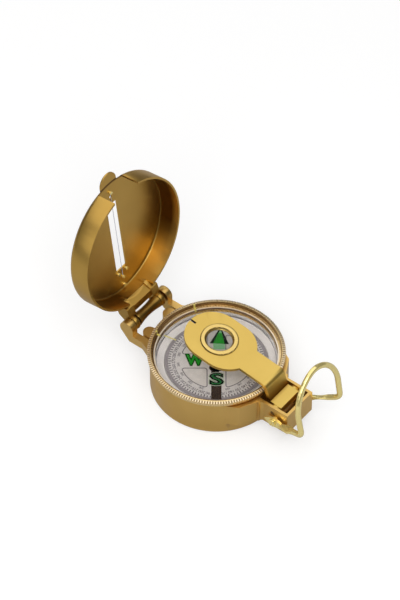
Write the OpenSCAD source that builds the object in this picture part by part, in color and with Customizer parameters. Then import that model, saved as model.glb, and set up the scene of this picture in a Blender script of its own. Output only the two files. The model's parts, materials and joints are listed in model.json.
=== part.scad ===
// Folding lensatic compass: a round case with a liquid capsule, a turning reeded bezel,
// a hinged cover with a sighting slot and wire, a tilting lens bracket and a wire thumb loop.
// Origin: centre of the foot of the case. +Z is up, +Y points to the cover hinge.

/* [Case] */
// Radius of the round case
case_r = 27; // [25:0.5:32]
// Height of the case from its foot to the ledge under the bezel
case_h = 17.2; // [15.5:0.1:22]
// Thickness of the case wall
case_wall = 1.4; // [1.2:0.1:2]
// Thickness of the case floor
case_floor = 1.4; // [1:0.1:2.4]
// Rounding of the lower edge of the case
foot_round = 1.6; // [0.6:0.1:2.4]

/* [Bezel] */
// How far the bezel stands out over the case wall
bezel_overhang = 1; // [0.4:0.1:2]
// Height of the bezel above the ledge of the case
bezel_h = 2.4; // [1.8:0.1:3.4]
// Width of the top of the bezel ring
bezel_land = 1.9; // [1.6:0.1:2.6]
// Width of the sloping reeded edge of the bezel
bezel_chamfer = 1.3; // [0.6:0.1:1.4]
// Fall of the sloping reeded edge of the bezel
bezel_fall = 0.4; // [0.2:0.1:0.8]
// Height of the reeded band
reed_band = 1.2; // [1:0.1:1.6]
// Number of reeds around the bezel
reed_count = 160; // [60:10:180]
// Depth of a reed
reed_depth = 0.35; // [0.15:0.05:0.4]
// Wall of the bezel skirt that turns inside the case
skirt_wall = 0.6; // [0.5:0.1:1]
// Depth of the skirt below the ledge
skirt_depth = 2; // [1.8:0.1:2.6]
// Thickness of the crystal
crystal_t = 0.8; // [0.6:0.1:1.2]
// Thickness of the ring that holds the crystal down
crystal_ring_t = 1.2; // [0.4:0.1:1.3]
// Width of the ring that holds the crystal down
crystal_ring_w = 0.6; // [0.4:0.1:1.2]
// Length of the long luminous line on the crystal
line_long = 5.5; // [5:0.5:14]
// Length of the short luminous line on the crystal
line_short = 1.6; // [1:0.2:5]
// Width of the luminous lines
line_w = 0.7; // [0.6:0.1:1.6]
// Direction of the long luminous line
line_angle = 101; // [0:1:360]
// Angle between the two luminous lines
line_spread = 43; // [20:1:90]
// Wire radius of the spring ring that keeps the bezel in the case
retainer_r = 0.22; // [0.15:0.01:0.25]

/* [Capsule and dial] */
// Wall of the liquid capsule above its shoulder
capsule_wall = 1.4; // [0.8:0.1:2]
// Running room around the edge of the dial card
dial_edge = 0.2; // [0.1:0.1:0.8]
// Floor of the liquid capsule
capsule_floor = 1.2; // [0.8:0.1:2]
// Thickness of the capsule window
window_t = 1; // [0.6:0.1:1.2]
// Thickness of the gasket under the capsule window
gasket_t = 0.4; // [0.2:0.1:0.8]
// Radius of the dial card
dial_r = 21; // [18:0.5:22.5]
// Thickness of the dial card
dial_t = 0.4; // [0.3:0.1:0.8]
// Free space between the dial card and the capsule window
dial_room = 0.9; // [0.5:0.1:1.5]
// Length of the dial magnet
magnet_len = 26; // [16:1:34]
// Width of the dial magnet
magnet_w = 4; // [3:0.5:5]
// Thickness of the dial magnet
magnet_t = 1; // [0.6:0.1:1.5]
// Width of the bars between the four sunk panels of the dial card
dial_spoke = 7.8; // [5:0.2:9]
// Outer radius of the four sunk panels of the dial card
panel_out = 14.4; // [11:0.2:15]
// Depth of the four sunk panels of the dial card
panel_depth = 0.15; // [0.1:0.05:0.2]
// Radius of the jewel hub under the dial card
jewel_r = 1.7; // [1.4:0.1:2.4]
// Radius of the pivot post
post_r = 0.7; // [0.5:0.1:1]
// Direction of the north mark of the dial
north_angle = 38; // [0:1:360]

/* [Cover hinge] */
// Distance from the case wall to the axis of the cover hinge
hinge_reach = 9.2; // [8.4:0.1:11]
// Height of the hinge axis above the ledge of the case
hinge_rise = 1.6; // [1.2:0.1:2.2]
// Radius of the hinge pin
hinge_pin_r = 1.1; // [0.8:0.1:1.5]
// Radius of the ears on the case
ear_r = 3.3; // [3:0.1:4.2]
// Width of one ear
ear_w = 3; // [2:0.1:4]
// Length of the barrel of the cover
barrel_len = 19.4; // [17:0.2:24]
// Radius of the collars of the barrel
collar_r = 3.2; // [2.6:0.1:3.6]
// Width of one collar of the barrel
collar_w = 3.2; // [2.4:0.1:4]
// Radius of the barrel at its waist
waist_r = 2.2; // [1.9:0.1:2.6]
// Height of the arms that carry the ears
arm_h = 4; // [3:0.1:5]
// Radius of the rounded lobes between the arms
lobe_r = 2.7; // [2:0.1:3.2]
// Distance between the centres of the lobes
lobe_gap = 12.8; // [11:0.2:14]

/* [Cover] */
// Outer radius of the cover
cover_r = 29; // [27.5:0.5:34]
// Depth of the cover
cover_depth = 9.9; // [9.9:0.1:12]
// Thickness of the rim of the cover
cover_wall = 0.9; // [0.7:0.1:1.4]
// Thickness of the flat of the cover
cover_flat = 0.65; // [0.5:0.05:0.65]
// Rounding of the outer edge of the cover
cover_round = 2.3; // [1.2:0.1:3]
// Fillet inside the cover between the flat and the rim
cover_fillet = 0.7; // [0.4:0.1:1.2]
// Width of the sighting slot
slot_w = 6; // [4:0.1:7]
// Length of the sighting slot
slot_len = 35.5; // [28:0.5:38]
// Width of the gap in the rim over the lens bracket
rim_gap_w = 14.6; // [13:0.2:18]
// Width of the tongue
tongue_w = 9.4; // [7:0.2:11]
// How far the tongue stands out of the cover
tongue_reach = 4.3; // [3:0.1:6]
// Radius of the sight wire
wire_r = 0.12; // [0.1:0.02:0.3]
// Radius of the pegs that hold the sight wire
peg_r = 0.7; // [0.5:0.1:1]
// Height of the pegs
peg_h = 0.9; // [0.7:0.1:1.6]
// Distance of the two side pegs from the centre line
peg_side = 2.4; // [1.8:0.1:3]
// Distance of the side pegs from the end of the slot
peg_near = 1.5; // [1.3:0.1:2.4]
// Distance of the peg that holds the wire from the end of the slot
peg_wire = 4.4; // [3.8:0.1:5]
// Distance of the last peg from the inside of the rim
peg_rim = 1.75; // [1.2:0.05:2.2]
// Distance of the upper peg from the other end of the slot
peg_tip = 6; // [4.5:0.1:6.6]
// Opening angle of the cover as shown
cover_open = 96.7; // [0:0.1:180]

/* [Rear box] */
// Width of the rear box
box_w = 16.4; // [15.4:0.2:20]
// How far the rear box stands out behind the case wall
box_reach = 15.1; // [14.6:0.1:18]
// Wall of the rear box
box_wall = 1.2; // [1:0.1:1.6]
// Height of the walls of the rear box
box_h = 10.8; // [10.2:0.1:12]
// Depth of the top of the rear box below the ledge
box_drop = 0.6; // [0.3:0.1:1.2]

/* [Lens bracket] */
// Width of the arm of the bracket
bracket_w = 11.5; // [9:0.1:12.5]
// Width of the head of the bracket
head_w = 24; // [20:0.2:28]
// Length of the bracket from its bend to its tip
bracket_len = 43; // [39:0.2:48]
// Distance from the bend to the centre of the lens
lens_reach = 28.1; // [26:0.1:30]
// Height of the top of the bracket above its pin
bracket_rise = 9.65; // [9.5:0.05:10.5]
// Distance from the pin to the bend
bend_reach = 6.3; // [6:0.1:6.8]
// Distance from the case wall back to the pin
pin_back = 7.5; // [7.2:0.1:8.4]
// Depth of the pin below the top of the rear box
pin_drop = 3.2; // [3:0.1:3.4]
// Length of the straight sides of the head
head_straight = 7; // [4:0.2:9]
// Thickness of the bracket
bracket_t = 1.4; // [1.2:0.1:2]
// Outer radius of the bend at the top of the leg
bend_r = 2.4; // [2:0.1:3]
// Thickness of the leg of the bracket
leg_t = 1.7; // [1.4:0.1:1.8]
// Lean of the leg of the bracket from upright
leg_lean = 25; // [20:1:27]
// Radius of the foot of the bracket around its pin
foot_r = 2.65; // [2.2:0.05:3]
// Radius of the bracket pin
bracket_pin_r = 0.9; // [0.7:0.1:1.2]
// Radius of the clear lens
lens_r = 5.7; // [4.5:0.1:7]
// Thickness of the lens at its middle
lens_t = 1.3; // [1.2:0.1:1.6]
// Width of the top of the lens ring
lens_ring_w = 2.1; // [1.2:0.1:2.3]
// How far the lens ring stands out of the bracket
lens_ring_h = 0.6; // [0.5:0.1:1]
// Length of the notch in the tip
notch_len = 2.7; // [2:0.1:5]
// Width of the notch in the tip
notch_w = 1; // [0.5:0.1:1.4]
// Thickness of the leaf spring under the foot
spring_t = 0.35; // [0.2:0.05:0.6]
// Half length of the leaf spring
spring_half = 4.3; // [3.6:0.1:4.6]
// Width of the leaf spring
spring_w = 8; // [5:0.2:9]
// Tilt of the bracket above the bezel as shown
bracket_tilt = 7.2; // [3:0.1:7.2]

/* [Thumb loop] */
// Radius of the loop wire
loop_wire_r = 1.2; // [0.8:0.05:1.3]
// Distance of the loop screws behind the bracket pin
loop_back = 1.5; // [1.2:0.1:2]
// Distance of the loop screws below the bracket pin
loop_drop = 2.9; // [2.7:0.1:3.2]
// Half width of the loop
loop_half = 13; // [12:0.2:15]
// Height of the arch of the loop over its legs
loop_arch = 15.4; // [11:0.2:17]
// Straight length of the legs of the loop
loop_leg = 10; // [8:0.2:14]
// Length of the arms from the screws to the corners
loop_arm = 17.8; // [16.5:0.1:20]
// Angle of the arms above level as shown
loop_arm_angle = 21; // [5:1:40]
// Forward lean of the arch as shown
loop_lean = 10; // [0:0.5:20]
// Length of the flattened eyes
eye_len = 9.6; // [7:0.2:10]
// Height of the flattened eyes
eye_h = 4.4; // [3.6:0.1:5.4]
// Thickness of the flattened eyes
eye_t = 1; // [0.7:0.1:1.4]
// Radius of the shank of the loop screws
screw_r = 0.9; // [0.7:0.1:1.2]
// Radius of the head of the loop screws
screw_head_r = 1.6; // [1.3:0.1:2]
// Radius of the shoulder of the loop screws
screw_shoulder_r = 1.5; // [1.2:0.1:2]
// Height of the head of the loop screws
screw_head_h = 0.7; // [0.5:0.1:1]

/* [Clearances] */
// Radial clearance of the pins in their bores
pin_gap = 0.05; // [0.02:0.01:0.1]
// Clearance between turning faces
turn_gap = 0.1; // [0.06:0.02:0.2]
// Clearance between the closed cover and the bezel
close_gap = 0.4; // [0.3:0.1:1]

/* [Hidden] */
$fn = 96;
eps = 0.01;
case_gold = [0.62, 0.46, 0.22];
bright_gold = [0.85, 0.68, 0.30];
steel = [0.70, 0.70, 0.72];

// Levels of the case, bezel and capsule
bezel_r = case_r + bezel_overhang;
bezel_z = case_h + turn_gap;
bezel_top = case_h + bezel_h;
bezel_in = bezel_r - bezel_land;
skirt_bottom = case_h - skirt_depth;
seat_step = 0.45;
seat_r = case_r - case_wall + seat_step;
skirt_r = seat_r - pin_gap;
crystal_r = skirt_r - skirt_wall;
lip_w = 0.6;
lip_t = 0.4;
crystal_z = skirt_bottom + lip_t;
cavity_r = case_r - case_wall;
seat_z = skirt_bottom - turn_gap;
capsule_r = cavity_r - pin_gap;
window_z = seat_z - window_t - turn_gap;
gasket_z = window_z - gasket_t;
dial_z = gasket_z - dial_room + gasket_t - dial_t;
retainer_z = case_h - skirt_depth / 2;
shoulder_z = dial_z + dial_t - 0.1;
window_r = capsule_r - capsule_wall / 2;
flange_h = 0.6;

// Cover hinge axis
hinge_y = case_r + hinge_reach;
hinge_z = case_h + hinge_rise;
ear_in = barrel_len / 2 + 2 * turn_gap;
ear_out = ear_in + ear_w;
arm_top = hinge_z - ear_r + 0.8;
rim_z = bezel_top + close_gap;
flat_z = rim_z + cover_depth - cover_flat;
cover_top = rim_z + cover_depth;
web_in = barrel_len / 2 - collar_w - 0.9;
notch_depth = 3.6;
block_w = 2 * (barrel_len / 2 - 2.4);

// Rear box and bracket pin
box_end = case_r + box_reach;
box_top = case_h - box_drop;
box_bottom = box_top - box_h;
box_in = box_w / 2 - box_wall;
box_front = case_r + 0.4;
recess_z = box_bottom + box_wall;
pin_y = -(case_r + pin_back);
pin_z = box_top - pin_drop;
wing_x = case_r - 10.4;
wing_y = case_r - 2.8;
rivet_r = 0.6;
rivet_y = pin_y - spring_half;

// Bracket in its level position: heights above and distances before the pin
foot_top = pin_z + foot_r;
bend_y = pin_y + bend_reach;
bracket_top = pin_z + bracket_rise;
lean = [-sin(leg_lean), -cos(leg_lean)];
lean_out = [cos(leg_lean), -sin(leg_lean)];
head_r = head_w / 2;
head_far = bend_y + bracket_len - head_r;
head_near = head_far - head_straight;
lens_y = bend_y + lens_reach;
lens_seat = 0.6;
lens_ring_r = lens_r + lens_ring_w;
holder_z = bracket_top - 0.8;
lens_z = holder_z + 0.3;

// Thumb loop
loop_y = pin_y - loop_back;
loop_z = pin_z - loop_drop;
eye_x = box_w / 2 + turn_gap + loop_wire_r;
corner_y = loop_y - loop_arm * cos(loop_arm_angle);
corner_z = loop_z + loop_arm * sin(loop_arm_angle);

// Turns a solid about an axis along X
module about_x(y, z, angle) {
    translate([0, y, z]) rotate([angle, 0, 0]) translate([0, -y, -z]) children();
}

// A cylinder along X, centred on x = 0
module x_rod(y, z, r, len) {
    translate([0, y, z]) rotate([0, 90, 0]) cylinder(r = r, h = len, center = true);
}

// A side outline drawn in (y, z), extruded along X and centred on x = 0
module x_plate(width) {
    rotate([90, 0, 90]) linear_extrude(width, center = true) children();
}

// Both sides of the compass
module both_sides() {
    children();
    mirror([1, 0, 0]) children();
}

module ring(r_out, r_in, z, h) {
    translate([0, 0, z]) difference() {
        cylinder(r = r_out, h = h);
        translate([0, 0, -1]) cylinder(r = r_in, h = h + 2);
    }
}

// Round body of the case with its rounded lower edge
module round_case() {
    rotate_extrude($fn = 180) {
        translate([0, foot_round]) square([case_r, case_h - foot_round]);
        square([case_r - foot_round, foot_round + eps]);
        intersection() {
            translate([case_r - foot_round, foot_round]) circle(foot_round);
            translate([case_r - foot_round - eps, 0]) square([foot_round + 1, foot_round + eps]);
        }
    }
}

// Arm and ear that carry one end of the hinge pin
module hinge_arm() {
    translate([(ear_in + ear_out) / 2, 0, 0]) {
        x_rod(hinge_y, hinge_z, ear_r, ear_w);
        x_plate(ear_w) polygon([
            [case_r - 6, arm_top - arm_h],
            [hinge_y - ear_r + 2, arm_top - arm_h],
            [hinge_y + ear_r * cos(30), hinge_z - ear_r * sin(30)],
            [hinge_y, hinge_z],
            [hinge_y - ear_r, hinge_z],
            [hinge_y - ear_r, arm_top],
            [case_r - 6, arm_top]]);
    }
    translate([0, 0, arm_top - arm_h]) linear_extrude(arm_h) polygon([
        [ear_in, case_r - 6],
        [ear_out + 2.8, case_r - 5.2],
        [ear_out, case_r + 1],
        [ear_in, case_r + 1]]);
}

// Rounded lobe beside the arm
module hinge_lobe() {
    translate([lobe_gap / 2, 0, arm_top - arm_h]) {
        translate([0, case_r + 2.4, 0]) cylinder(r = lobe_r, h = arm_h);
        translate([-lobe_r, case_r - 3, 0]) cube([2 * lobe_r, 5.4, arm_h]);
    }
}

// Half outline of the wing that leads from the round case into the rear box
module wing_outline() {
    corner_r = 1.2;
    polygon([
        [0, -case_r + 4],
        [wing_x + 4.1, -wing_y + 8.2],
        [wing_x - 0.06, -wing_y + 0.2],
        [wing_x - 0.57, -wing_y - 0.28],
        [box_w / 2, -wing_y - 4.4],
        [0, -wing_y - 4.4]]);
    translate([wing_x - 1.1, -wing_y + 0.8]) circle(corner_r);
}

// Rear box, its two wings and the fillets in the corners
module rear_block() {
    fillet = 1.4;
    translate([0, 0, box_bottom]) {
        translate([-box_w / 2, -box_end, 0]) cube([box_w, box_reach + 3, box_h]);
        both_sides() {
            linear_extrude(box_h) wing_outline();
            translate([box_w / 2, -(case_r + 1.9) - fillet, 0]) linear_extrude(box_h) difference() {
                square([fillet, 1.6 * fillet]);
                translate([fillet, 0]) circle(fillet);
            }
        }
    }
}

module case() {
    color(case_gold) difference() {
        union() {
            round_case();
            both_sides() {
                hinge_arm();
                hinge_lobe();
            }
            rear_block();
        }
        translate([0, 0, case_floor]) cylinder(r = cavity_r, h = case_h, $fn = 180);
        translate([0, 0, seat_z]) cylinder(r = seat_r, h = case_h, $fn = 180);
        rotate_extrude($fn = 180) translate([seat_r, retainer_z]) circle(retainer_r + pin_gap);
        translate([-box_in, -box_end + box_wall, recess_z])
            cube([2 * box_in, box_end - box_wall - box_front, box_h]);
        x_rod(hinge_y, hinge_z, hinge_pin_r, 2 * ear_out + 2);
        x_rod(pin_y, pin_z, bracket_pin_r, box_w + 2);
        x_rod(loop_y, loop_z, screw_r, box_w + 2);
        translate([0, rivet_y, box_bottom - 1]) cylinder(r = rivet_r, h = box_wall + 2);
    }
}

// Cup of the liquid capsule: a shoulder level with the dial card, and a rim round the window
module capsule_cup() {
    color([0.88, 0.88, 0.90]) difference() {
        translate([0, 0, case_floor]) cylinder(r = capsule_r, h = window_z + window_t - case_floor);
        translate([0, 0, gasket_z]) cylinder(r = window_r, h = gasket_z);
        translate([0, 0, shoulder_z]) cylinder(r = capsule_r - capsule_wall, h = gasket_z);
        translate([0, 0, case_floor + capsule_floor]) cylinder(r = dial_r + dial_edge, h = gasket_z);
        translate([0, 0, case_floor + capsule_floor - flange_h]) cylinder(r = post_r + 1, h = 2);
    }
}

module capsule_gasket() {
    color([0.75, 0.75, 0.72])
        ring(window_r, capsule_r - capsule_wall, gasket_z, gasket_t);
}

module capsule_window() {
    color([0.9, 0.95, 1, 0.35]) translate([0, 0, window_z]) cylinder(r = window_r, h = window_t);
}

// Post with a flange in the capsule floor and a cone for a point
module pivot_post() {
    base = case_floor + capsule_floor;
    tip = dial_z - 0.15;
    color(steel) {
        translate([0, 0, base - flange_h]) cylinder(r = post_r + 1, h = flange_h);
        translate([0, 0, base - eps]) cylinder(r = post_r, h = tip - base - 1.2 + eps);
        translate([0, 0, tip - 1.2 - eps]) cylinder(r1 = post_r, r2 = 0.08, h = 1.2 + eps);
    }
}

module bezel_retainer() {
    color(steel) rotate_extrude(angle = 340, $fn = 180)
        translate([seat_r, retainer_z]) circle(retainer_r);
}

module hinge_pin() {
    color(steel) x_rod(hinge_y, hinge_z, hinge_pin_r, 2 * ear_out);
}

module bracket_pin() {
    color(steel) x_rod(pin_y, pin_z, bracket_pin_r, box_w);
}

// Arched leaf spring on the floor of the rear box
module leaf_spring() {
    crest = pin_z - foot_r - turn_gap - recess_z;
    arch = (spring_half * spring_half + crest * crest) / (2 * crest);
    color(steel) difference() {
        union() {
            intersection() {
                difference() {
                    x_rod(pin_y + 0.8, recess_z + crest - arch, arch, spring_w);
                    x_rod(pin_y + 0.8, recess_z + crest - arch, arch - spring_t, spring_w + 1);
                }
                translate([-spring_w, pin_y - 2 * spring_half, recess_z])
                    cube([2 * spring_w, 4 * spring_half, 2 * crest]);
            }
            translate([-spring_w / 2, rivet_y - 1.3, recess_z]) cube([spring_w, 2.4, spring_t]);
        }
        translate([0, rivet_y, recess_z - 1]) cylinder(r = rivet_r, h = 3);
    }
}

module spring_rivet() {
    color(steel) {
        translate([0, rivet_y, box_bottom]) cylinder(r = rivet_r, h = box_wall + spring_t + eps);
        translate([0, rivet_y, recess_z + spring_t]) cylinder(r = rivet_r + 0.35, h = 0.5);
    }
}

module loop_screws() {
    head_x = eye_x + eye_t / 2 + turn_gap;
    color(bright_gold) both_sides() translate([0, loop_y, loop_z]) rotate([0, 90, 0]) {
        translate([0, 0, box_in]) cylinder(r = screw_r, h = head_x - box_in + eps);
        translate([0, 0, box_w / 2]) cylinder(r = screw_shoulder_r, h = eye_x - eye_t / 2 - turn_gap - box_w / 2);
        translate([0, 0, head_x]) difference() {
            cylinder(r = screw_head_r, h = screw_head_h);
            translate([-screw_head_r - 1, -0.2, screw_head_h - 0.3])
                cube([2 * screw_head_r + 2, 0.4, 1]);
        }
    }
}

// Plan outline of the reeds
module reed_outline() {
    polygon([for (i = [0 : 2 * reed_count - 1])
        let (r = bezel_r - (i % 2 == 0 ? 0 : reed_depth), a = 180 * i / reed_count)
        [r * cos(a), r * sin(a)]]);
}

// The reeds run up the side of the ring and over its sloping edge, above a plain band
module bezel_ring() {
    reed_z = bezel_top - reed_band;
    plain_r = bezel_r - reed_depth - 0.15;
    color(bright_gold) difference() {
        union() {
            translate([0, 0, bezel_z]) cylinder(r = plain_r, h = reed_z - bezel_z + 0.1, $fn = 180);
            translate([0, 0, reed_z]) linear_extrude(reed_band - bezel_fall) reed_outline();
            translate([0, 0, bezel_top - bezel_fall])
                linear_extrude(bezel_fall, scale = 1 - bezel_chamfer / bezel_r) reed_outline();
            translate([0, 0, skirt_bottom])
                cylinder(r = skirt_r, h = bezel_z - skirt_bottom + 0.2, $fn = 180);
        }
        translate([0, 0, crystal_z]) cylinder(r = crystal_r, h = 9, $fn = 180);
        translate([0, 0, crystal_z + crystal_t + crystal_ring_t + 0.2])
            cylinder(r = bezel_in, h = 9, $fn = 180);
        translate([0, 0, skirt_bottom - 1]) cylinder(r = crystal_r - lip_w, h = 9, $fn = 180);
        rotate_extrude($fn = 180) translate([seat_r, retainer_z]) circle(retainer_r + pin_gap);
    }
}

module crystal() {
    color([0.9, 0.95, 1, 0.3]) translate([0, 0, crystal_z]) cylinder(r = crystal_r, h = crystal_t);
}

module crystal_ring() {
    color(bright_gold)
        ring(crystal_r, crystal_r - crystal_ring_w, crystal_z + crystal_t, crystal_ring_t);
}

// Two painted lines on the crystal, inside its ring
module luminous_lines() {
    r_out = crystal_r - crystal_ring_w - 1;
    color([0.80, 0.85, 0.30]) for (mark = [[line_angle, line_long], [line_angle - line_spread, line_short]])
        rotate([0, 0, mark[0]]) translate([r_out - mark[1], -line_w / 2, crystal_z + crystal_t])
            cube([mark[1], line_w, 0.08]);
}

// One sunk panel of the dial card
module dial_panel() {
    intersection() {
        circle(panel_out);
        translate([dial_spoke / 2, dial_spoke / 2]) square(dial_r);
    }
}

module dial_card() {
    color([0.90, 0.90, 0.93]) rotate([0, 0, north_angle]) translate([0, 0, dial_z]) difference() {
        cylinder(r = dial_r, h = dial_t, $fn = 180);
        translate([0, 0, -1]) cylinder(r = post_r + 0.5, h = dial_t + 2);
        translate([0, 0, dial_t - panel_depth]) linear_extrude(1)
            for (turn = [0 : 90 : 270]) rotate(turn) dial_panel();
    }
}

module dial_magnet() {
    color([0.25, 0.22, 0.20]) rotate([0, 0, north_angle]) translate([0, 0, dial_z - magnet_t])
        difference() {
            translate([-magnet_len / 2, -magnet_w / 2, 0]) cube([magnet_len, magnet_w, magnet_t]);
            translate([0, 0, -1]) cylinder(r = jewel_r, h = magnet_t + 2);
        }
}

// Hub with a conical cup that rides on the point of the post
module dial_jewel() {
    top = dial_z + dial_t;
    color([0.75, 0.55, 0.25]) difference() {
        union() {
            translate([0, 0, dial_z - magnet_t]) cylinder(r = jewel_r, h = magnet_t);
            translate([0, 0, dial_z - eps]) cylinder(r = post_r + 0.5, h = dial_t + 0.3 + eps);
        }
        translate([0, 0, dial_z - magnet_t - 1]) cylinder(r = post_r + 0.25, h = 1 + magnet_t - 0.6);
        translate([0, 0, dial_z - 0.6 - eps]) cylinder(r1 = post_r + 0.25, r2 = 0.2, h = 0.55 + eps);
    }
}

// Outline of a cup with a rounded upper corner
module cup_outline(r, top, corner_r) {
    translate([0, rim_z]) square([r, top - rim_z - corner_r]);
    translate([0, rim_z]) square([r - corner_r, top - rim_z]);
    translate([r - corner_r, top - corner_r]) circle(corner_r);
}

// Closed cover without its hinge: rim, flat, tongue, slot and the cuts in the rim
module cover_cup() {
    tongue_r = tongue_w / 2;
    tongue_y = -(cover_r + tongue_reach - tongue_r);
    difference() {
        union() {
            rotate_extrude($fn = 180) difference() {
                cup_outline(cover_r, cover_top, cover_round);
                translate([0, -1]) cup_outline(cover_r - cover_wall, flat_z + 1, cover_fillet);
            }
            translate([0, 0, flat_z]) linear_extrude(cover_flat) {
                translate([0, tongue_y]) circle(tongue_r);
                translate([-tongue_r, tongue_y]) square([tongue_w, 8]);
            }
        }
        translate([-slot_w / 2, -slot_len / 2, flat_z - 1]) cube([slot_w, slot_len, 4]);
        translate([-rim_gap_w / 2, -cover_r - 1, rim_z - 1])
            cube([rim_gap_w, cover_r - 15, flat_z - rim_z + 1]);
        difference() {
            translate([-rim_gap_w / 2, -cover_r - 1, flat_z - eps])
                cube([rim_gap_w, 5, cover_flat + 1]);
            translate([0, 0, flat_z - 1]) cylinder(r = cover_r - cover_round / 2, h = 4, $fn = 180);
            translate([-tongue_r, -cover_r - 3, flat_z - 1]) cube([tongue_w, 9, 4]);
        }
        translate([-block_w / 2 - 0.2, cover_r - 4, rim_z - 1]) cube([block_w + 0.4, 5, notch_depth + 1]);
        for (at = peg_places()) translate([at[0], at[1], flat_z - 1]) cylinder(r = peg_r - 0.25, h = 4);
        translate([0, -slot_len / 2 - 3.4, flat_z - 1]) cylinder(r = 0.75, h = 4);
    }
}

// Block on the rim that carries the barrel of the hinge
module hinge_block() {
    block_y = cover_r + 3.8;
    x_plate(block_w) polygon([
        [cover_r - 0.8, rim_z + notch_depth],
        [cover_r + 0.7, rim_z],
        [block_y, rim_z],
        [block_y, rim_z + notch_depth + 1.4],
        [cover_r + 0.2, rim_z + notch_depth + 2.6],
        [cover_r - 0.8, rim_z + notch_depth + 2.6]]);
    both_sides() translate([(web_in + barrel_len / 2) / 2, 0, 0]) x_plate(barrel_len / 2 - web_in) {
        polygon([
            [cover_r + 0.2, rim_z],
            [hinge_y - collar_r * 0.6, hinge_z],
            [hinge_y, hinge_z],
            [hinge_y, hinge_z + collar_r * 0.8],
            [block_y + 0.6, rim_z + notch_depth + 1.2],
            [cover_r + 0.2, rim_z + notch_depth + 2.4],
            [cover_r - 1.6, rim_z + notch_depth + 2.4],
            [cover_r - 1.6, rim_z + notch_depth]]);
    }
}

// Barrel with two collars and a waist
module barrel() {
    half = barrel_len / 2;
    waist_half = half - collar_w;
    sag = collar_r - 0.3 - waist_r;
    arc_r = (waist_half * waist_half + sag * sag) / (2 * sag);
    translate([0, hinge_y, hinge_z]) rotate([0, 90, 0]) rotate_extrude() {
        difference() {
            translate([0, -waist_half]) square([collar_r - 0.3, 2 * waist_half]);
            translate([waist_r + arc_r, 0]) circle(arc_r, $fn = 180);
        }
        for (side = [-1, 1]) translate([0, side * (half - collar_w / 2)]) {
            translate([collar_r - collar_w / 2, 0]) circle(collar_w / 2);
            translate([0, -collar_w / 2]) square([collar_r - collar_w / 2, collar_w]);
        }
    }
}

module opened() {
    about_x(hinge_y, hinge_z, -cover_open) children();
}

module cover_shell() {
    color(case_gold) opened() difference() {
        union() {
            cover_cup();
            hinge_block();
            barrel();
        }
        x_rod(hinge_y, hinge_z, hinge_pin_r + pin_gap, 2 * ear_out);
    }
}

// Peg positions on the flat: two beside the end of the slot, three on the centre line
function peg_places() = [
    [-peg_side, slot_len / 2 + peg_near], [peg_side, slot_len / 2 + peg_near],
    [0, slot_len / 2 + peg_wire], [0, cover_r - cover_wall - peg_rim], [0, -slot_len / 2 - peg_tip]];

// Line of the sight wire, stretched just inside the flat
module wire_line() {
    translate([0, slot_len / 2 + peg_wire, flat_z - wire_r - 0.05])
        rotate([90, 0, 0]) cylinder(r = wire_r, h = slot_len + peg_wire + peg_tip);
}

module sight_wire() {
    color(steel) opened() wire_line();
}

module wire_pegs() {
    color(bright_gold) opened() difference() {
        for (at = peg_places()) translate([at[0], at[1], flat_z]) {
            translate([0, 0, -peg_h]) cylinder(r = peg_r, h = peg_h);
            translate([0, 0, -eps]) cylinder(r = peg_r - 0.25, h = cover_flat + eps);
        }
        wire_line();
    }
}

module tilted() {
    about_x(pin_y, pin_z, bracket_tilt) children();
}

// Plan outline of the arm and the head
module bracket_plan() {
    translate([-bracket_w / 2, bend_y + bend_r]) square([bracket_w, bracket_len - 2 * head_r]);
    translate([0, head_near]) circle(head_r, $fn = 180);
    translate([0, head_far]) circle(head_r, $fn = 180);
    translate([-head_r, head_near]) square([head_w, head_straight]);
}

// Side outline of the bend, the leg and the plate on the foot
module bracket_side() {
    bend = [bend_y + bend_r * (1 - sin(leg_lean)) / cos(leg_lean), bracket_top - bend_r];
    back_top = bend - bend_r * lean_out;
    back_len = (back_top[1] - foot_top) / cos(leg_lean);
    back_low = back_top + back_len * lean;
    front_top = back_top + leg_t * lean_out;
    front_len = (front_top[1] - pin_z - 1) / cos(leg_lean);
    front_low = front_top + front_len * lean;
    intersection() {
        translate(bend) circle(bend_r);
        polygon([bend, back_top - bend_r * lean_out, back_top + [-1, bend_r], [bend[0], bracket_top + 1]]);
    }
    polygon([
        [bend[0] + 3, bracket_top], [bend[0], bracket_top], back_top, back_low,
        [pin_y - 2.2, foot_top], [pin_y - 2.2, foot_top - 1.2], [pin_y - 1, pin_z],
        [pin_y + 2, pin_z], front_low, front_top,
        [bend[0], bracket_top - bracket_t], [bend[0] + 3, bracket_top - bracket_t]]);
}

module lens_bracket() {
    color(bright_gold) tilted() difference() {
        union() {
            translate([0, 0, bracket_top - bracket_t]) linear_extrude(bracket_t) bracket_plan();
            x_plate(bracket_w) bracket_side();
            x_rod(pin_y, pin_z, foot_r, 2 * (box_in - turn_gap));
        }
        x_rod(pin_y, pin_z, bracket_pin_r + pin_gap, box_w);
        translate([0, lens_y, bracket_top - bracket_t - 1]) cylinder(r = lens_r + lens_seat, h = 5);
        translate([-notch_w / 2, head_far + head_r - notch_len, bracket_top - bracket_t - 1])
            cube([notch_w, notch_len + 1, bracket_t + 2]);
    }
}

// Ring round the lens with a sloping edge inside and out
module lens_ring() {
    slope = 0.45 * lens_ring_h;
    slope_z = bracket_top + lens_ring_h - slope;
    color(bright_gold) tilted() translate([0, lens_y, 0]) difference() {
        union() {
            translate([0, 0, holder_z]) cylinder(r = lens_r + lens_seat, h = bracket_top - holder_z);
            translate([0, 0, bracket_top]) cylinder(r = lens_ring_r, h = lens_ring_h - slope);
            translate([0, 0, slope_z]) cylinder(r1 = lens_ring_r, r2 = lens_ring_r - slope, h = slope);
        }
        translate([0, 0, slope_z]) cylinder(r1 = lens_r, r2 = lens_r + 1.1 * slope, h = 1.1 * slope);
        translate([0, 0, holder_z - 1]) cylinder(r = lens_r - 0.4, h = 5);
        translate([0, 0, lens_z]) cylinder(r = lens_r, h = 5);
    }
}

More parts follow.
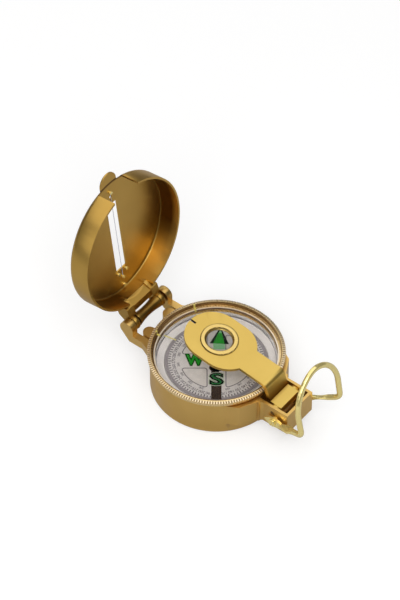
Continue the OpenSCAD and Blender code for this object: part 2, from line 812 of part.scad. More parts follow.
// Lens with one domed face
module lens() {
    edge = 0.6;
    dome = lens_t - edge;
    ball = (lens_r * lens_r + dome * dome) / (2 * dome);
    color([0.9, 0.95, 1, 0.35]) tilted() translate([0, lens_y, lens_z]) intersection() {
        cylinder(r = lens_r, h = lens_t);
        translate([0, 0, lens_t - ball]) sphere(ball);
    }
}

// Points of the loop wire: arm, corner, leg and arch, then the same on the other side
function loop_point(x, h) = [x, corner_y + h * sin(loop_lean), corner_z + h * cos(loop_lean)];
function mix(a, b, t) = a + (b - a) * t;
function curve(a, b, c, t) = mix(mix(a, b, t), mix(b, c, t), t);
eye_y = loop_y - 0.7;
eye_end = [eye_x, eye_y - eye_len * 0.34, loop_z];
corner = loop_point(loop_half - 0.2, 0);
before = mix(eye_end, corner, 0.8);
after = loop_point(loop_half - 0.15, 2.6);
half_path = concat(
    [for (t = [0 : 0.08 : 0.96]) mix(eye_end, before, t)],
    [for (t = [0 : 0.125 : 1]) curve(before, corner, after, t)],
    [for (a = [0 : 5 : 90])
        loop_point(loop_half * pow(cos(a), 1.08), loop_leg + loop_arch * pow(sin(a), 1.08))]);
loop_path = concat(half_path,
    [for (i = [len(half_path) - 2 : -1 : 0]) [-half_path[i][0], half_path[i][1], half_path[i][2]]]);

function unit(v) = v / norm(v);
function run(path, i) = unit(path[min(i + 1, len(path) - 1)] - path[max(i - 1, 0)]);

// How much the wire is flattened at a ring: only along the two arms
function flat_part(i, rings) = let (k = min(i, rings - 1 - i)) k > 10 ? 0 : pow(sin(18 * k), 2);

// Tube along a path, closed at both ends and flattened in places
module tube(path, r, sides) {
    rings = len(path);
    points = [for (i = [0 : rings - 1])
        let (d = run(path, i), f = flat_part(i, rings),
             u = r * (1 + 0.5 * f) * unit(cross(d, [0, 1, 0.2])),
             w = r * (1 - 0.45 * f) * unit(cross(d, u)))
        for (s = [0 : sides - 1]) path[i] + cos(360 * s / sides) * u + sin(360 * s / sides) * w];
    walls = [for (i = [0 : rings - 2], s = [0 : sides - 1])
        let (a = i * sides + s, b = i * sides + (s + 1) % sides)
        [a, a + sides, b + sides, b]];
    ends = [[for (s = [0 : sides - 1]) s],
            [for (s = [sides - 1 : -1 : 0]) (rings - 1) * sides + s]];
    polyhedron(points, concat(walls, ends));
}

// Flattened, leaf-shaped eye at the end of the wire
module loop_eye() {
    bow = (eye_len * eye_len / 4 + eye_h * eye_h / 4) / eye_h;
    translate([eye_x, eye_y, loop_z]) x_plate(eye_t) intersection() {
        translate([0, bow - eye_h / 2]) circle(bow);
        translate([0, eye_h / 2 - bow]) circle(bow);
    }
}

module thumb_loop() {
    color(bright_gold) difference() {
        union() {
            tube(loop_path, loop_wire_r, 16);
            both_sides() loop_eye();
        }
        x_rod(loop_y, loop_z, screw_r + pin_gap, 2 * eye_x + 4);
    }
}

case();
capsule_cup();
capsule_gasket();
capsule_window();
pivot_post();
bezel_retainer();
hinge_pin();
bracket_pin();
leaf_spring();
spring_rivet();
loop_screws();
bezel_ring();
crystal();
crystal_ring();
luminous_lines();
dial_card();
dial_magnet();
dial_jewel();
cover_shell();
sight_wire();
wire_pegs();
lens_bracket();
lens();
lens_ring();
thumb_loop();
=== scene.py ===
"""Looks of the folding magnetic compass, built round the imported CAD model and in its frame.

Sizes are in mm and get MM where Blender takes them. Those in metres say so.
"""
import json
import math

import bmesh
import bpy
from mathutils import Matrix, Vector


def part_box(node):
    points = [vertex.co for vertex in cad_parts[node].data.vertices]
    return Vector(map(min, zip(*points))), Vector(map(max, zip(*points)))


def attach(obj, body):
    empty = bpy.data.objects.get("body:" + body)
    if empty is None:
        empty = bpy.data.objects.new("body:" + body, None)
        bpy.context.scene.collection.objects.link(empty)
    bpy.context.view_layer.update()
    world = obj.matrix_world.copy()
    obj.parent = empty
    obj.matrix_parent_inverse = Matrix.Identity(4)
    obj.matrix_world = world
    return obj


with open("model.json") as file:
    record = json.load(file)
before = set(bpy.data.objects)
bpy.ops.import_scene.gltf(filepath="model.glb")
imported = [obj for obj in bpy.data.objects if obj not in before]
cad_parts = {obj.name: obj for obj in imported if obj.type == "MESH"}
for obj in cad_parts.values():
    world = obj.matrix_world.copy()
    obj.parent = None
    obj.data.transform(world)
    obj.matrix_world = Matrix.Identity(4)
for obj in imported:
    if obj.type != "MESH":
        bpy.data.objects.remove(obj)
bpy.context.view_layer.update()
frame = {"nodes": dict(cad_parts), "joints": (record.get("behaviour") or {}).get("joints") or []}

MM = 0.001
NODES = frame["nodes"]
JOINTS = {joint["name"]: joint for joint in frame["joints"]}
scene = bpy.context.scene
scene.view_settings.view_transform = "Standard"
scene.cycles.transparent_max_bounces = 32


def reach(name, axis):
    """How far a CAD node reaches along an axis at rest."""
    return getattr(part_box(name)[1], axis) / MM


def turned_at_rest(joint):
    """How far a joint is turned at rest from its lower limit, in radians."""
    return math.radians(-JOINTS[joint]["range_deg"][0])


# The cover's hinge and the bracket's pin
COVER_PIVOT = tuple(JOINTS["cover_hinge"]["pos_m"])  # in metres
COVER_OPEN = turned_at_rest("cover_hinge")
PIN_Y, PIN_Z = (c / MM for c in JOINTS["lens_bracket_hinge"]["pos_m"][1:])
BRACKET_TILT = turned_at_rest("lens_bracket_hinge")

# Radii and heights of the CAD nodes
COVER_R = reach("cover_shell", "x")
BEZEL_R = reach("bezel_ring", "x")
BEZEL_TOP = reach("bezel_ring", "z")
LAND_R = BEZEL_R - 1.3  # outer edge of the bezel's flat top
BEZEL_IN = BEZEL_R - 1.9  # inner wall of the bezel, above its ledge
RING_R = reach("crystal_ring", "x")
RING_IN = RING_R - 0.6
RING_TOP = reach("crystal_ring", "z")
LEDGE_Z = RING_TOP + 0.2
CRYSTAL_TOP = reach("crystal", "z")
GASKET_IN = reach("capsule_cup", "x") - 1.4
DIAL_R = round(reach("dial_card", "x"), 3)  # its round edge is made of short flats
DIAL_TOP = reach("dial_card", "z")
REEDS = 160  # beads round the edge of the bezel


# Shader nodes

UPRIGHT = (1, 1, 0)  # the axes that count for the distance from an upright axis
ALONG_X = (0, 1, 1)  # and from one along X
MIDDLE = (0.3, 0.7)  # where nearly all of a noise lies
MIX_A, MIX_B, MIX_RESULT = 6, 7, 2  # the colour sockets of a Mix node
FINE_BUMP = 0.02 * MM


def new_material(name):
    mat = bpy.data.materials.new(name)
    mat.use_nodes = True
    mat.node_tree.nodes.clear()
    return mat, mat.node_tree


def node(tree, kind, inputs=None, **props):
    """A shader node. An input is linked where it is given another node's output, or else set."""
    made = tree.nodes.new(kind)
    for key, value in props.items():
        setattr(made, key, value)
    for key, value in (inputs or {}).items():
        if isinstance(value, bpy.types.NodeSocket):
            tree.links.new(value, made.inputs[key])
        else:
            made.inputs[key].default_value = value
    return made


def calc(tree, operation, *values):
    return node(tree, "ShaderNodeMath", dict(enumerate(values)), operation=operation).outputs[0]


def times(tree, a, b):
    return calc(tree, "MULTIPLY", a, b)


def vector_calc(tree, operation, *values):
    return node(tree, "ShaderNodeVectorMath", dict(enumerate(values)), operation=operation).outputs


def place(tree):
    """The point being shaded, in metres, with the model at rest."""
    return node(tree, "ShaderNodeTexCoord").outputs["Object"]


def axes(tree, point):
    return node(tree, "ShaderNodeSeparateXYZ", {0: point}).outputs


def distance(tree, point, counted):
    """Length of a vector over the axes that are 1 in counted."""
    flat = vector_calc(tree, "MULTIPLY", point, counted)[0]
    return vector_calc(tree, "LENGTH", flat)["Value"]


def band(tree, value, span, low=0.0, high=1.0):
    """Goes from low to high while the value goes over the span, and no further."""
    made = node(tree, "ShaderNodeMapRange", {"Value": value, "From Min": span[0], "From Max": span[1],
                                             "To Min": low, "To Max": high})
    return made.outputs["Result"]


def fade(tree, length, span_mm, low=0.0, high=1.0):
    """A band over a length in metres, with its span in mm."""
    return band(tree, length, [end * MM for end in span_mm], low, high)


def noise(tree, scale, detail, roughness=0.5, stretch=(1, 1, 1), distortion=0.0):
    """Noise that is fixed to the piece."""
    spot = node(tree, "ShaderNodeMapping", {"Vector": place(tree), "Scale": stretch})
    made = node(tree, "ShaderNodeTexNoise", {"Vector": spot.outputs["Vector"], "Scale": scale,
                                             "Detail": detail, "Roughness": roughness,
                                             "Distortion": distortion})
    return made.outputs["Fac"]


def rgba(colour):
    """A colour with its alpha; the output of a node stays as it is."""
    return (*colour, 1) if isinstance(colour, tuple) else colour


def darker(colour, share):
    return tuple(share * c for c in colour)


def blend(tree, share, a, b):
    """Colour a where the share is 0, and b where it is 1."""
    made = node(tree, "ShaderNodeMix", {"Factor": share, MIX_A: rgba(a), MIX_B: rgba(b)}, data_type="RGBA")
    return made.outputs[MIX_RESULT]


def ramp(tree, value, span, dark, light):
    """Colour that goes from dark to light while the value goes over the span."""
    made = node(tree, "ShaderNodeValToRGB", {"Fac": value})
    for stop, position, colour in zip(made.color_ramp.elements, span, (dark, light)):
        stop.position = position
        stop.color = rgba(colour)
    return made.outputs["Color"]


def bumped(tree, height, strength, depth=FINE_BUMP):
    made = node(tree, "ShaderNodeBump", {"Height": height, "Strength": strength, "Distance": depth})
    return made.outputs["Normal"]


def surfaced(mat, shader):
    """The material, with this shader node on its surface."""
    node(mat.node_tree, "ShaderNodeOutputMaterial", {"Surface": shader.outputs[0]})
    return mat


def principled(mat, inputs):
    return surfaced(mat, node(mat.node_tree, "ShaderNodeBsdfPrincipled", inputs))


# Kinds of material

def metal_paint(name, colour, dark, rough, painted_shade=None, foot=None):
    """Satin metallic paint: a fine sparkle in colour and roughness over a slow tone change."""
    mat, tree = new_material(name)
    slow = noise(tree, scale=60.0, detail=3.0)
    sparkle = noise(tree, scale=5200.0, detail=2.0, roughness=0.6)
    tone = ramp(tree, calc(tree, "ADD", slow, times(tree, sparkle, 0.5)), (0.45, 1.0), dark, colour)
    # The cover gets painted shade inside its rim, round its barrel's waist and on its outer wall
    if painted_shade:
        tone = cover_patina(tree, tone, painted_shade, darker(dark, 0.78))
    if foot:
        tone = foot_shade(tree, tone, foot)
    return principled(mat, {"Base Color": tone, "Metallic": 1.0, "IOR": 1.5,
                            "Roughness": band(tree, sparkle, MIDDLE, rough - 0.04, rough + 0.05),
                            "Normal": bumped(tree, sparkle, 0.12)})


# Where the painted shades of the cover come in, from and to: distances from its axis and places, with it shut
RIM_INSIDE = (COVER_R - 1.8, COVER_R - 1.0)
RIM_MIDDLE = (COVER_R - 0.3, COVER_R - 0.6)
RIM_OUTSIDE = (COVER_R - 0.3, COVER_R - 0.1)
RIM_HEIGHT = (20.6, 23.5)
AWAY_FROM_HINGE = (22.0, 9.0)
NEAR_HINGE = (-2.0, 20.0)
LEFT_SIDE = (3.0, -6.0)
LEFT_SHARE = 0.75
BARREL_WAIST = (2.9, 2.3)  # distance from the axis of the hinge
WAIST_SHARE = 0.6


def cover_patina(tree, tone, painted_shade, outer_shade):
    """Painted shade: dark bronze inside the cover's rim and round the waist of its barrel, and a deeper tone
    outside the rim.
    """
    turn = Matrix.Rotation(COVER_OPEN, 3, "X")
    pivot = Vector(COVER_PIVOT)
    shut = node(tree, "ShaderNodeMapping", {"Vector": place(tree), "Rotation": (COVER_OPEN, 0, 0),
                                            "Location": pivot - turn @ pivot}).outputs["Vector"]
    radius = distance(tree, shut, UPRIGHT)
    across, along, height = axes(tree, shut)
    rim = times(tree, fade(tree, radius, RIM_INSIDE), fade(tree, radius, RIM_MIDDLE))
    part = calc(tree, "MAXIMUM", fade(tree, along, AWAY_FROM_HINGE),
                fade(tree, across, LEFT_SIDE, 0.0, LEFT_SHARE))
    inside = times(tree, part, times(tree, rim, fade(tree, height, RIM_HEIGHT)))
    outside = times(tree, fade(tree, radius, RIM_OUTSIDE), fade(tree, along, NEAR_HINGE))
    from_hinge = distance(tree, vector_calc(tree, "SUBTRACT", place(tree), COVER_PIVOT)[0], ALONG_X)
    tone = blend(tree, inside, tone, painted_shade)
    tone = blend(tree, outside, tone, outer_shade)
    return blend(tree, fade(tree, from_hinge, BARREL_WAIST, 0.0, WAIST_SHARE), tone, painted_shade)


# Heights at which the shade of the bracket's leg comes in from above and ends over the foot plate
LEG_START = (PIN_Z + 6.6, PIN_Z + 3.4)
LEG_END = (PIN_Z + 2.85, PIN_Z + 3.2)


def foot_shade(tree, tone, shade):
    """Darker leg of the bracket, down to the foot plate, which stays as it is."""
    height = axes(tree, place(tree))["Z"]
    leg = times(tree, fade(tree, height, LEG_START), fade(tree, height, LEG_END))
    return blend(tree, leg, tone, shade)


def polished(name, colour, dark, rough, scratch=0.05, metallic=1.0, ior=1.5):
    """Bright metal with faint rubbed streaks."""
    mat, tree = new_material(name)
    streak = noise(tree, scale=900.0, detail=4.0, roughness=0.6, stretch=(1, 1, 3), distortion=0.4)
    return principled(mat, {"Base Color": ramp(tree, streak, MIDDLE, dark, colour),
                            "Metallic": metallic, "IOR": ior,
                            "Roughness": band(tree, streak, MIDDLE, 0.7 * rough, 1.4 * rough),
                            "Normal": bumped(tree, streak, scratch)})


def plain_print(name, colour, dark, rough, scale, metallic=0.0, gloss=0.5):
    """Ink, paint or moulded plastic with a slight mottle."""
    mat, tree = new_material(name)
    mottle = noise(tree, scale, detail=3.0, roughness=0.6)
    return principled(mat, {"Base Color": ramp(tree, mottle, MIDDLE, dark, colour),
                            "Metallic": metallic, "Roughness": rough, "IOR": 1.45,
                            "Specular IOR Level": gloss, "Normal": bumped(tree, mottle, 0.08)})


def clear(name, tint, rough, gloss):
    """Thin clear plate: looks straight through, with a weak shine on its outer side and a faint haze."""
    mat, tree = new_material(name)
    haze = band(tree, noise(tree, scale=120.0, detail=2.0), MIDDLE, 0.8 * gloss, gloss)
    fresnel = node(tree, "ShaderNodeFresnel", {"IOR": 1.45}).outputs["Fac"]
    front = calc(tree, "SUBTRACT", 1.0, node(tree, "ShaderNodeNewGeometry").outputs["Backfacing"])
    share = times(tree, times(tree, fresnel, haze), front)
    through = node(tree, "ShaderNodeBsdfTransparent", {"Color": rgba(tint)}).outputs[0]
    shine = node(tree, "ShaderNodeBsdfGlossy", {"Roughness": rough}).outputs[0]
    return surfaced(mat, node(tree, "ShaderNodeMixShader", {"Fac": share, 1: through, 2: shine}))


# Where the painted shades and highlights of the bezel come in, from and to
SLOPE_R = (LAND_R + 0.1, LAND_R + 0.3)
SLOPE_Z = (BEZEL_TOP - 0.5, BEZEL_TOP - 0.4)
INNER_SIDE = (BEZEL_IN + 0.4, BEZEL_IN + 0.25)
ABOVE_LEDGE = (LEDGE_Z + 0.04, LEDGE_Z + 0.14)
# Side on which a painted shadow darkens the ledge as well as the wall
DARK_WAY = (-0.62, 0.784, 0)  # direction of the side where the ledge is as dark as the wall
DARK_SIDE = (15, 24)
# Painted shade between the beads comes in over this span
BETWEEN_BEADS = (0.1, -0.75)  # of a wave that is 1 on a bead's crest


def reeded(name, bead, land, groove, wall):
    """Gilt ring: pale beads on its slope as a painted highlight, painted shade between them, a golden land,
    and painted shade on its inner wall and on one side of its ledge.
    """
    mat, tree = new_material(name)
    point = place(tree)
    radius = distance(tree, point, UPRIGHT)
    x, y, z = axes(tree, point)
    wave = calc(tree, "COSINE", times(tree, calc(tree, "ARCTAN2", y, x), float(REEDS)))
    groove_shade = band(tree, wave, BETWEEN_BEADS)
    slope = times(tree, fade(tree, radius, SLOPE_R), fade(tree, z, SLOPE_Z))
    fine = noise(tree, scale=2500.0, detail=3.0, roughness=0.6)
    rubbed = blend(tree, band(tree, fine, (0.35, 0.7)), darker(land, 0.86), land)
    dark_side = fade(tree, vector_calc(tree, "DOT_PRODUCT", point, DARK_WAY)["Value"], DARK_SIDE)
    wall_and_ledge_shade = calc(tree, "MAXIMUM", dark_side, fade(tree, z, ABOVE_LEDGE))
    inside = times(tree, fade(tree, radius, INNER_SIDE), wall_and_ledge_shade)
    tone = blend(tree, slope, rubbed, blend(tree, groove_shade, bead, groove))
    height = calc(tree, "ADD", times(tree, times(tree, groove_shade, slope), -1.0), times(tree, fine, 0.04))
    return principled(mat, {"Base Color": blend(tree, inside, tone, wall), "Metallic": 0.75, "IOR": 1.5,
                            "Roughness": band(tree, fine, MIDDLE, 0.22, 0.34),
                            "Normal": bumped(tree, height, 0.6, 0.15 * MM)})


def edged_ring(name, colour, edge, edge_span, metallic, rough):
    """Pale ring, with a dark inner edge that fades out over the span of radii."""
    mat, tree = new_material(name)
    mottle = band(tree, noise(tree, scale=600.0, detail=2.0), MIDDLE)
    base = blend(tree, mottle, darker(colour, 0.9), colour)
    near_edge = fade(tree, distance(tree, place(tree), UPRIGHT), edge_span, 1.0, 0.0)
    return principled(mat, {"Base Color": blend(tree, near_edge, base, edge), "Metallic": metallic,
                            "Roughness": rough, "IOR": 1.45})


# Metals: light tone, dark tone, roughness
SATIN_GOLD = metal_paint("satin_gold_paint", (0.78, 0.51, 0.165), (0.70, 0.45, 0.13), 0.34)
# The cover's gold: the case's paint made darker and browner as painted shade, and its last colour is the
# painted shade in its rim and barrel
COVER_SHADED_GOLD = metal_paint("cover_shaded_gold_paint", (0.67, 0.42, 0.105), (0.59, 0.355, 0.08), 0.33,
                         painted_shade=(0.13, 0.058, 0.010))
PALE_GOLD = metal_paint("pale_gold_paint", (0.82, 0.575, 0.150), (0.75, 0.515, 0.125), 0.36,
                        foot=(0.30, 0.14, 0.02))
RING_GOLD = metal_paint("ring_gold_paint", (0.88, 0.66, 0.24), (0.80, 0.57, 0.18), 0.27)
BRASS = polished("polished_brass", (1.0, 0.86, 0.35), (1.0, 0.80, 0.29), 0.12,
                 scratch=0.01, metallic=0.68, ior=2.2)
STEEL = polished("blued_steel", (0.36, 0.39, 0.47), (0.26, 0.28, 0.35), 0.28)
WIRE = polished("pale_wire", (0.74, 0.77, 0.88), (0.62, 0.65, 0.76), 0.3, metallic=0.2)
# Dark brown steel for the bracket's pin, spring and rivet: painted shade, so they sit as dark as the shade in
# the bracket's recess
SHADED_STEEL = polished("shaded_dark_steel", (0.30, 0.20, 0.10), (0.20, 0.13, 0.06), 0.35)
# The pale bead colour is a painted highlight, and the groove and wall colours are painted shade
BEZEL = reeded("reeded_gilt", bead=(1.0, 0.82, 0.55), land=(0.90, 0.67, 0.33),
               groove=(0.33, 0.19, 0.06), wall=(0.20, 0.11, 0.035))
GILT = edged_ring("gilt_ring", (0.99, 0.86, 0.67), (0.24, 0.15, 0.08),
                  (RING_IN + 0.01, RING_IN + 0.06), metallic=0.5, rough=0.36)
RUBBER = edged_ring("pale_gasket", (0.76, 0.73, 0.71), (0.24, 0.22, 0.26),
                    (GASKET_IN + 0.07, GASKET_IN + 0.17), metallic=0.0, rough=0.5)

# Plastic, paint and ink: light tone, dark tone, roughness, scale of the mottle
CAPSULE = plain_print("capsule_plastic", (0.84, 0.795, 0.76), (0.77, 0.73, 0.70), 0.35, 300.0)
DIAL = plain_print("dial_face", (0.70, 0.66, 0.63), (0.62, 0.585, 0.57), 0.42, 900.0)
PANEL = plain_print("dial_panel", (0.72, 0.67, 0.63), (0.60, 0.565, 0.53), 0.40, 350.0)
INK = plain_print("dial_ink", (0.20, 0.18, 0.19), (0.14, 0.12, 0.13), 0.45, 1500.0)
GREY_INK = plain_print("grey_ink", (0.34, 0.305, 0.31), (0.27, 0.24, 0.25), 0.45, 1500.0)
BAR = plain_print("dial_bar", (0.050, 0.030, 0.022), (0.032, 0.019, 0.014), 0.40, 900.0, gloss=0.2)
GREEN = plain_print("letter_green", (0.014, 0.37, 0.018), (0.008, 0.31, 0.014), 0.35, 1200.0, gloss=0.15)
DEEP_GREEN = plain_print("letter_deep_green", (0.020, 0.19, 0.045), (0.014, 0.15, 0.035), 0.35, 1200.0,
                         gloss=0.15)
DARK_GREEN = plain_print("letter_edge", (0.003, 0.050, 0.004), (0.002, 0.035, 0.003), 0.40, 1200.0, gloss=0.1)
BLACK_INK = plain_print("north_edge", (0.004, 0.010, 0.005), (0.002, 0.005, 0.003), 0.40, 1200.0, gloss=0.1)
HALO = plain_print("letter_halo", (0.50, 0.56, 0.43), (0.44, 0.50, 0.38), 0.45, 900.0)
PALE_GREEN = plain_print("pale_green", (0.27, 0.60, 0.31), (0.21, 0.52, 0.25), 0.45, 900.0, gloss=0.3)
LUMINOUS = plain_print("luminous_paint", (0.66, 0.58, 0.28), (0.58, 0.50, 0.22), 0.6, 2500.0)
YELLOW = plain_print("yellow_mark", (0.72, 0.60, 0.16), (0.64, 0.52, 0.12), 0.5, 2500.0)
MAGNET = plain_print("magnet_steel", (0.06, 0.045, 0.04), (0.03, 0.02, 0.02), 0.35, 1500.0, metallic=0.6)

# Clear plates
GLASS = clear("clear_crystal", (0.985, 0.985, 0.985), rough=0.02, gloss=0.11)
WINDOW = clear("capsule_glass", (0.99, 0.99, 0.99), rough=0.03, gloss=0.06)
LENS = clear("lens_glass", (0.985, 0.99, 0.985), rough=0.01, gloss=0.08)


# Finish of the CAD nodes

CAD_MATERIALS = {
    "case": SATIN_GOLD, "cover_shell": COVER_SHADED_GOLD, "lens_bracket": PALE_GOLD, "lens_ring": RING_GOLD,
    "bezel_ring": BEZEL, "crystal_ring": GILT, "thumb_loop": BRASS, "loop_screws": BRASS,
    "wire_pegs": BRASS, "dial_jewel": BRASS, "hinge_pin": SATIN_GOLD, "bracket_pin": SHADED_STEEL,
    "leaf_spring": SHADED_STEEL, "spring_rivet": SHADED_STEEL, "pivot_post": STEEL, "bezel_retainer": STEEL,
    "sight_wire": WIRE, "capsule_cup": CAPSULE, "capsule_gasket": RUBBER, "dial_card": DIAL,
    "dial_magnet": MAGNET, "luminous_lines": LUMINOUS, "crystal": GLASS, "capsule_window": WINDOW,
    "lens": LENS}

# Widths of the small bevels that catch the light
BEVELS = {"case": 0.22, "cover_shell": 0.16, "lens_bracket": 0.36, "lens_ring": 0.3, "loop_screws": 0.12,
          "wire_pegs": 0.12, "crystal_ring": 0.1, "leaf_spring": 0.08, "capsule_cup": 0.1}
BEVEL_FROM = math.radians(32)  # edges that turn less are left as they are
WELD_GAP = 0.002 * MM


def bevelled(obj, width):
    weld = obj.modifiers.new("weld", "WELD")
    weld.merge_threshold = WELD_GAP
    bevel = obj.modifiers.new("bevel", "BEVEL")
    bevel.width = width * MM
    bevel.segments = 3
    bevel.limit_method = "ANGLE"
    bevel.angle_limit = BEVEL_FROM
    bevel.harden_normals = True
    bevel.use_clamp_overlap = True


for name, mat in CAD_MATERIALS.items():
    NODES[name].data.materials.clear()
    NODES[name].data.materials.append(mat)
    if name in BEVELS:
        bevelled(NODES[name], BEVELS[name])


# Added pieces. A shape is a list of points and a list of faces.

NORTH = math.radians(38)  # direction of the dial's north, from +X


def make_piece(name, shapes, mat, body):
    """One piece out of several shapes."""
    verts, faces = [], []
    for points, loops in shapes:
        base = len(verts)
        verts += [tuple(c * MM for c in point) for point in points]
        faces += [[base + i for i in loop] for loop in loops]
    mesh = bpy.data.meshes.new(name)
    mesh.from_pydata(verts, [], faces)
    mesh.validate()
    mesh.update()
    mesh.materials.append(mat)
    obj = bpy.data.objects.new(name, mesh)
    scene.collection.objects.link(obj)
    bm = bmesh.new()
    bm.from_mesh(mesh)
    bmesh.ops.recalc_face_normals(bm, faces=bm.faces)
    bm.to_mesh(mesh)
    bm.free()
    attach(obj, body)


def on_dial(x, y, z):
    """A point of the dial's own drawing: x to its east, y to its north, z over the card."""
    c, s = math.cos(NORTH), math.sin(NORTH)
    return (y * c + x * s, y * s - x * c, DIAL_TOP + z)


def dial_piece(name, shapes, mat):
    """A piece printed on the dial, from shapes of the dial's own drawing."""
    placed = [([on_dial(*point) for point in points], faces) for points, faces in shapes]
    make_piece(name, placed, mat, "dial")


def quad(points):
    return list(points), [[0, 1, 2, 3]]


def flat_face(outline, z):
    """One flat face with this outline."""
    return [(x, y, z) for x, y in outline], [list(range(len(outline)))]


def slab(outline, low, high):
    """Flat plate with this outline, open below."""
    n = len(outline)
    points = [(x, y, z) for z in (low, high) for x, y in outline]
    sides = [[i, (i + 1) % n, n + (i + 1) % n, n + i] for i in range(n)]
    return points, [[n + i for i in range(n)]] + sides


def closed_strip(pairs):
    """Faces between pairs of points that go round and close."""
    points = [point for pair in pairs for point in pair]
    n = len(points)
    return points, [[i, (i + 2) % n, (i + 3) % n, i + 1] for i in range(0, n, 2)]


def ellipse(middle, radii, steps=40):
    turns = [2 * math.pi * i / steps for i in range(steps)]
    return [(middle[0] + radii[0] * math.cos(t), middle[1] + radii[1] * math.sin(t)) for t in turns]


def arc(cx, cy, r, start, end, steps=6):
    """Points of an arc, with its angles in degrees."""
    turns = [math.radians(start + (end - start) * i / steps) for i in range(steps + 1)]
    return [(cx + r * math.cos(t), cy + r * math.sin(t)) for t in turns]


def turned(points, angle):
    c, s = math.cos(angle), math.sin(angle)
    return [(x * c - y * s, x * s + y * c) for x, y in points]


def ring_band(inner, outer, z, steps=180):
    circles = zip(ellipse((0, 0), (inner, inner), steps), ellipse((0, 0), (outer, outer), steps))
    return closed_strip([((*a, z), (*b, z)) for a, b in circles])


def radial(bearing, inner, outer, half, z):
    """One flat radial stroke; the bearing is in degrees from north."""
    a = math.radians(bearing)
    s, c = math.sin(a), math.cos(a)
    corners = ((inner, -half), (inner, half), (outer, half), (outer, -half))
    return quad((r * s + q * c, r * c - q * s, z) for r, q in corners)


def outline_stroke(path, half, z):
    """Flat line of even width round a closed path."""
    pairs = []
    for i, (x, y) in enumerate(path):
        (ax, ay), (bx, by) = path[i - 1], path[(i + 1) % len(path)]
        d = math.hypot(bx - ax, by - ay)
        nx, ny = -(by - ay) / d * half, (bx - ax) / d * half
        pairs.append(((x + nx, y + ny, z), (x - nx, y - ny, z)))
    return closed_strip(pairs)


def text_mesh(text, size, bold, spacing=1.0):
    """A word in its own plane, centred: flat points and faces. Boldness is how far its outline grows."""
    curve = bpy.data.curves.new("word", "FONT")
    curve.body = text
    curve.size = size
    curve.offset = bold
    curve.align_x = "CENTER"
    curve.align_y = "CENTER"
    curve.space_character = spacing
    curve.resolution_u = 3
    holder = bpy.data.objects.new("word", curve)
    scene.collection.objects.link(holder)
    bpy.context.view_layer.update()
    depsgraph = bpy.context.evaluated_depsgraph_get()
    mesh = bpy.data.meshes.new_from_object(holder.evaluated_get(depsgraph))
    points = [tuple(v.co[:2]) for v in mesh.vertices]
    faces = [list(p.vertices) for p in mesh.polygons]
    bpy.data.objects.remove(holder)
    return points, faces


def lettering(word, at, turn, z):
    """A word at a place of the dial's drawing."""
    points, faces = word
    return [(at[0] + x, at[1] + y, z) for x, y in turned(points, turn)], faces


def fitting(word, width, height):
    """Scale and shift that bring a word to this width and height, centred."""
    xs, ys = zip(*word[0])
    scale = (width / (max(xs) - min(xs)), height / (max(ys) - min(ys)))
    return scale, (-(max(xs) + min(xs)) / 2, -(max(ys) + min(ys)) / 2)


def fitted(word, scale, shift):
    points, faces = word
    return [((x + shift[0]) * scale[0], (y + shift[1]) * scale[1]) for x, y in points], faces


# Scale of the dial: a dark band at the rim, ticks and two rings of numbers

INK_Z = 0.015
RIM_BAND = (DIAL_R - 1.45, DIAL_R - 0.1)
TICKS = 96
TICK_OUT = DIAL_R - 1.5
TICK_IN, MAIN_TICK_IN = DIAL_R - 2.45, DIAL_R - 2.8
TICK_HALF = 0.27
# Step in degrees, radius, size, boldness, and how far a number stands past its bearing, in degrees
NUMBERS = ((10, DIAL_R - 3.7, 1.9, 0.035, 0),
           (20, DIAL_R - 5.55, 1.45, 0.03, 3))
NUMBER_SPACING = 0.95
NORTH_MARK = 5.3  # bearing of the middle of the north mark, in degrees
NO_TICKS, NO_NUMBERS = 22, 24  # how far on each side of it the scale is open
BAR_BEARING = 180


def near_north(bearing, spread):
    return abs((bearing - NORTH_MARK + 180) % 360 - 180) < spread


def ticks():
    bearings = [360 / TICKS * k for k in range(TICKS)]
    inner_ends = [TICK_IN if k % 4 else MAIN_TICK_IN for k in range(TICKS)]
    return [radial(bearing, inner, TICK_OUT, TICK_HALF, INK_Z)
            for bearing, inner in zip(bearings, inner_ends) if not near_north(bearing, NO_TICKS)]


def numbers(step, radius, size, bold, past):
    shapes = []
    for value in range(0, 360, step):
        if near_north(value, NO_NUMBERS) or value == BAR_BEARING:
            continue
        a = math.radians(value + past)
        word = text_mesh(str(value), size, bold, NUMBER_SPACING)
        shapes.append(lettering(word, (radius * math.sin(a), radius * math.cos(a)), -a, INK_Z))
    return shapes


dial_piece("dial_rim_band", [ring_band(*RIM_BAND, INK_Z)], GREY_INK)
dial_piece("dial_scale", ticks() + [shape for ring in NUMBERS for shape in numbers(*ring)], INK)


# The four sunk panels, each a quarter with rounded corners, and the frames round them

PANEL_SIDE, PANEL_OUT = 3.8, 14.55
INNER_ROUND, OUTER_ROUND = 1.2, 0.8
PANEL_Z = 0.012
FRAME_Z, FRAME_HALF = 0.03, 0.20


def panel_outline():
    """One panel, between two arms of the cross and the arc of its outer edge."""
    inner, outer = PANEL_SIDE + INNER_ROUND, PANEL_SIDE + OUTER_ROUND
    lean = math.degrees(math.asin(outer / (PANEL_OUT - OUTER_ROUND)))
    far = math.sqrt((PANEL_OUT - OUTER_ROUND) ** 2 - outer ** 2)
    return (arc(inner, inner, INNER_ROUND, 270, 180) + arc(outer, far, OUTER_ROUND, 180, 90 - lean)
            + arc(0, 0, PANEL_OUT, 90 - lean, lean, 16)[1:-1] + arc(far, outer, OUTER_ROUND, lean, -90))


panels = [turned(panel_outline(), math.pi / 2 * quarter) for quarter in range(4)]
dial_piece("panel_frames", [outline_stroke(panel, FRAME_HALF, FRAME_Z) for panel in panels], INK)
dial_piece("panel_print", [flat_face(panel, PANEL_Z) for panel in panels], PANEL)


# Bar to the south, widened near the hub by a painted shadow of the bracket, with a painted spot of light from
# the lens on it

